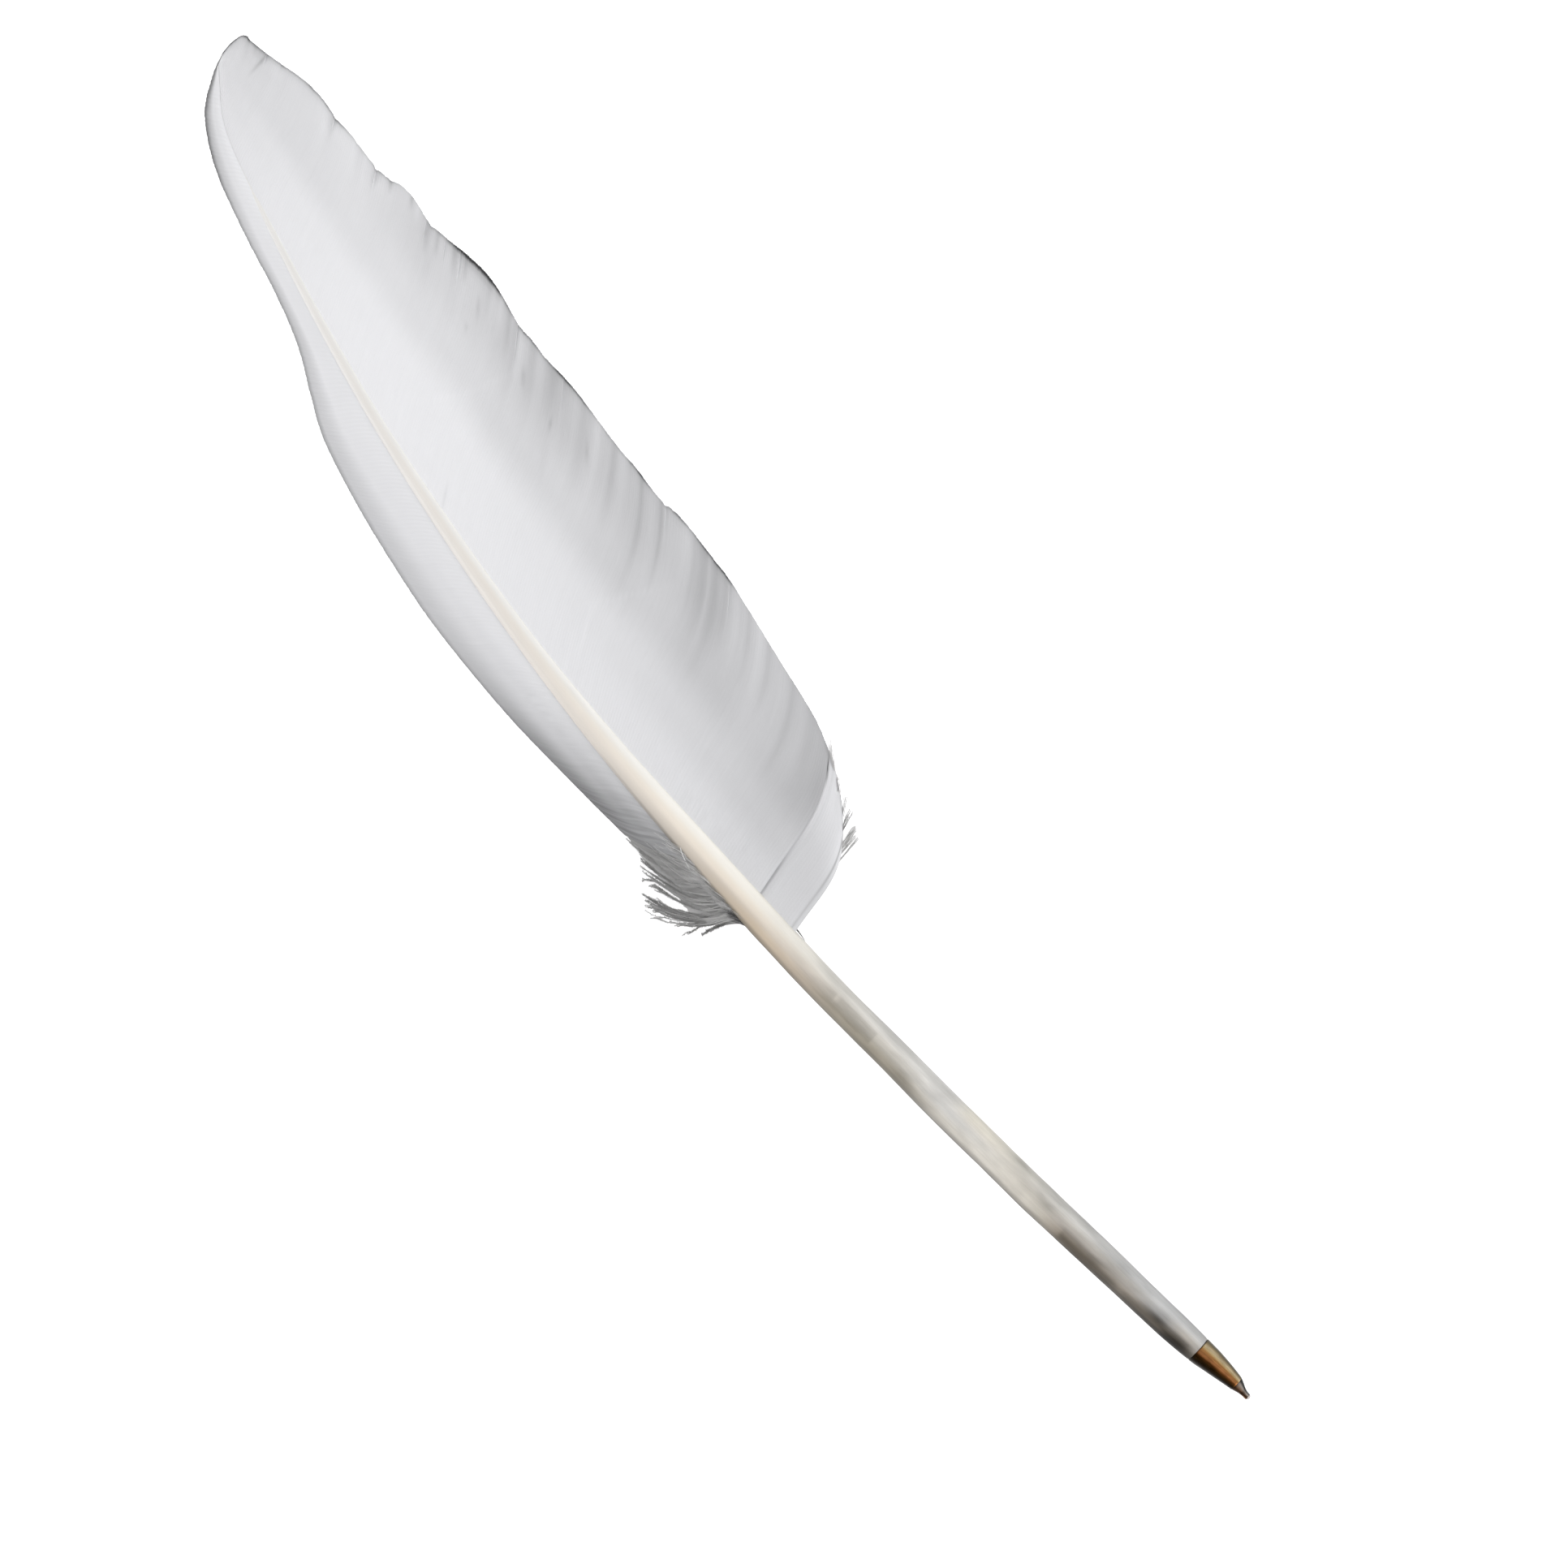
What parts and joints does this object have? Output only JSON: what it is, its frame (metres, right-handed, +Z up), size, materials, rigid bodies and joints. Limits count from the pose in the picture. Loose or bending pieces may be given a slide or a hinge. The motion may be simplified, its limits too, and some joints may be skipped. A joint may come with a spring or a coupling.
{
  "type": "quill pen",
  "caption": "Goose-feather quill pen with a ballpoint refill in its hollow barrel, lying on a table with the shaft gently arched.",
  "frame": {"origin": "on the table, under the middle of the pen's box as it lies", "axes": "+X towards the nib, level, along the pen's length; +Y towards the wide vane; +Z up, out of the feather's outer face. The barrel slopes 3 degrees down towards the nib."},
  "size_m": [0.2576, 0.0563, 0.0095],
  "materials": {
    "barrel_horn": "satin",
    "shaft_horn": "satin",
    "pith": "matte",
    "vane": "matte",
    "down": "matte",
    "barb_stub": "matte",
    "pulp_cap": "matte",
    "bush": "matte",
    "brass": "polished",
    "nickel_silver": "polished",
    "carbide": "polished",
    "tube_plastic": "satin",
    "ink": "gloss"
  },
  "bodies": {
    "feather": {"quill_barrel": "barrel_horn", "rachis_cortex": "shaft_horn", "rachis_pith": "pith", "narrow_vane": "vane", "wide_vane": "vane", "wide_vane_base": "vane", "downy_barbs": "down", "barb_stub": "barb_stub", "pulp_caps": "pulp_cap", "mouth_bush": "bush"},
    "refill": {"point_holder": "brass", "nib_point": "nickel_silver", "ink_tube": "tube_plastic", "ink_column": "ink"},
    "ball": {"writing_ball": "carbide"}
  },
  "joints": [
    {"name": "refill_pull", "type": "slide", "parent": "feather", "child": "refill", "axis": [0.9986, 0, -0.0523], "range_m": [0, 0.069]},
    {"name": "ball_roll", "type": "hinge", "parent": "refill", "child": "ball", "pos_m": [0.1283, -0.01773, 0.00165], "axis": [0, 1, 0], "continuous": true}
  ]
}
